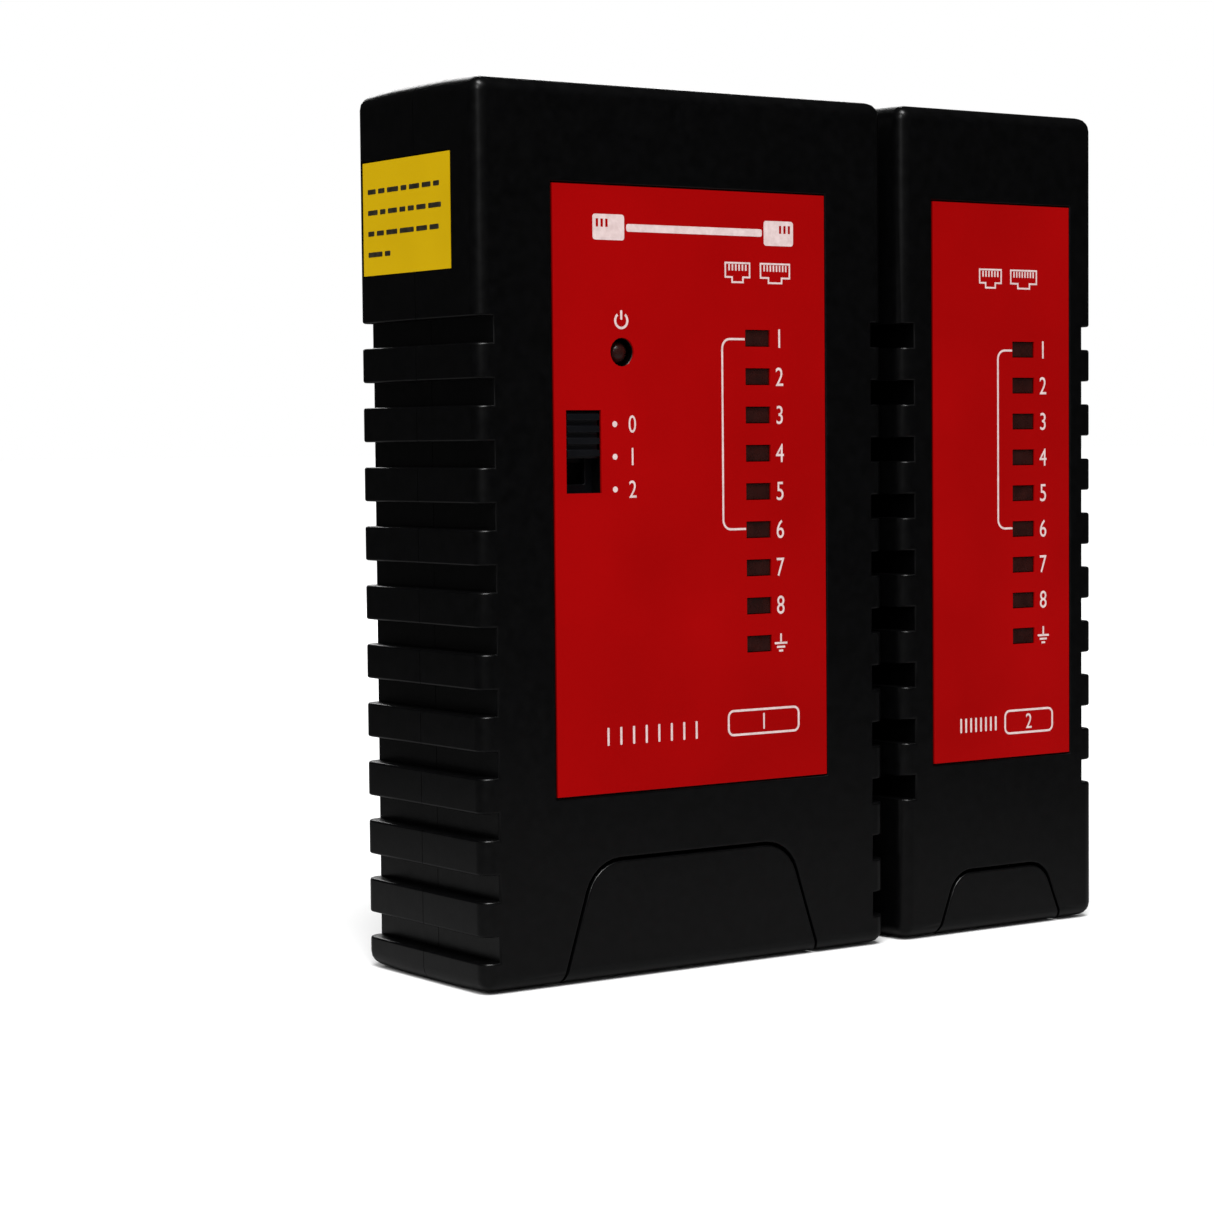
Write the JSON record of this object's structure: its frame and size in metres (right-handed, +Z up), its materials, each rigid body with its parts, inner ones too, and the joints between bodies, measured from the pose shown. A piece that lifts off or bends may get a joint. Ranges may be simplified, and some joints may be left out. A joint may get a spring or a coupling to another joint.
{
  "type": "network cable tester",
  "caption": "Hand-held tester for network and phone cables: a battery-powered master unit and a remote unit that slides off its side.",
  "frame": {"origin": "centre of the base", "axes": "+X to the right of the front face, +Y from the front to the back, +Z up"},
  "size_m": [0.099, 0.028, 0.109],
  "materials": {
    "case_plastic": "black satin ABS moulding",
    "faceplate_film": "red printed film",
    "caution_film": "yellow label film",
    "lamp_lens": "dark tinted lamp",
    "jack_plastic": "black connector plastic",
    "contact_gold": "gold-plated spring wire",
    "board_laminate": "green circuit board",
    "plated_steel": "zinc-plated steel",
    "switch_plastic": "black switch plastic",
    "chip_epoxy": "chip moulding",
    "capacitor_sleeve": "capacitor sleeve",
    "battery_jacket": "printed battery jacket",
    "wire_red": "red wire sleeve",
    "wire_black": "black wire sleeve"
  },
  "bodies": {
    "master": {"battery": "battery_jacket", "battery_lead_black": "wire_black", "battery_lead_red": "wire_red", "battery_snap": "switch_plastic", "master_board_screw_1": "plated_steel", "master_board_screw_2": "plated_steel", "master_capacitor": "capacitor_sleeve", "master_case_screw_1": "plated_steel", "master_case_screw_2": "plated_steel", "master_case_screw_3": "plated_steel", "master_case_screw_4": "plated_steel", "master_caution_label": "caution_film", "master_circuit_board": "board_laminate", "master_counter_chip": "chip_epoxy", "master_faceplate": "faceplate_film", "master_front_shell": "case_plastic", "master_lamp_1": "lamp_lens", "master_lamp_2": "lamp_lens", "master_lamp_3": "lamp_lens", "master_lamp_4": "lamp_lens", "master_lamp_5": "lamp_lens", "master_lamp_6": "lamp_lens", "master_lamp_7": "lamp_lens", "master_lamp_8": "lamp_lens", "master_lamp_g": "lamp_lens", "master_rear_shell": "case_plastic", "master_rj11_contacts": "contact_gold", "master_rj11_jack": "jack_plastic", "master_rj45_contacts": "contact_gold", "master_rj45_jack": "jack_plastic", "master_timer_chip": "chip_epoxy", "power_lamp": "lamp_lens", "switch_frame": "switch_plastic"},
    "switch": {"switch_knob": "switch_plastic", "switch_slider": "switch_plastic"},
    "battery_cap": {"battery_cap": "case_plastic"},
    "remote": {"remote_board_screw_1": "plated_steel", "remote_case_screw_1": "plated_steel", "remote_case_screw_2": "plated_steel", "remote_circuit_board": "board_laminate", "remote_end_cap": "case_plastic", "remote_faceplate": "faceplate_film", "remote_front_shell": "case_plastic", "remote_lamp_1": "lamp_lens", "remote_lamp_2": "lamp_lens", "remote_lamp_3": "lamp_lens", "remote_lamp_4": "lamp_lens", "remote_lamp_5": "lamp_lens", "remote_lamp_6": "lamp_lens", "remote_lamp_7": "lamp_lens", "remote_lamp_8": "lamp_lens", "remote_lamp_g": "lamp_lens", "remote_rear_shell": "case_plastic", "remote_rj11_contacts": "contact_gold", "remote_rj11_jack": "jack_plastic", "remote_rj45_contacts": "contact_gold", "remote_rj45_jack": "jack_plastic"}
  },
  "joints": [
    {"name": "switch_slide", "type": "slide", "parent": "master", "child": "switch", "axis": [0, 0, -1], "range_m": [0, 0.004]},
    {"name": "battery_cap_slide", "type": "slide", "parent": "master", "child": "battery_cap", "axis": [0, 0, -1], "range_m": [0, 0.03]},
    {"name": "remote_slide", "type": "slide", "parent": "master", "child": "remote", "axis": [0, 0, 1], "range_m": [0, 0.096]}
  ]
}
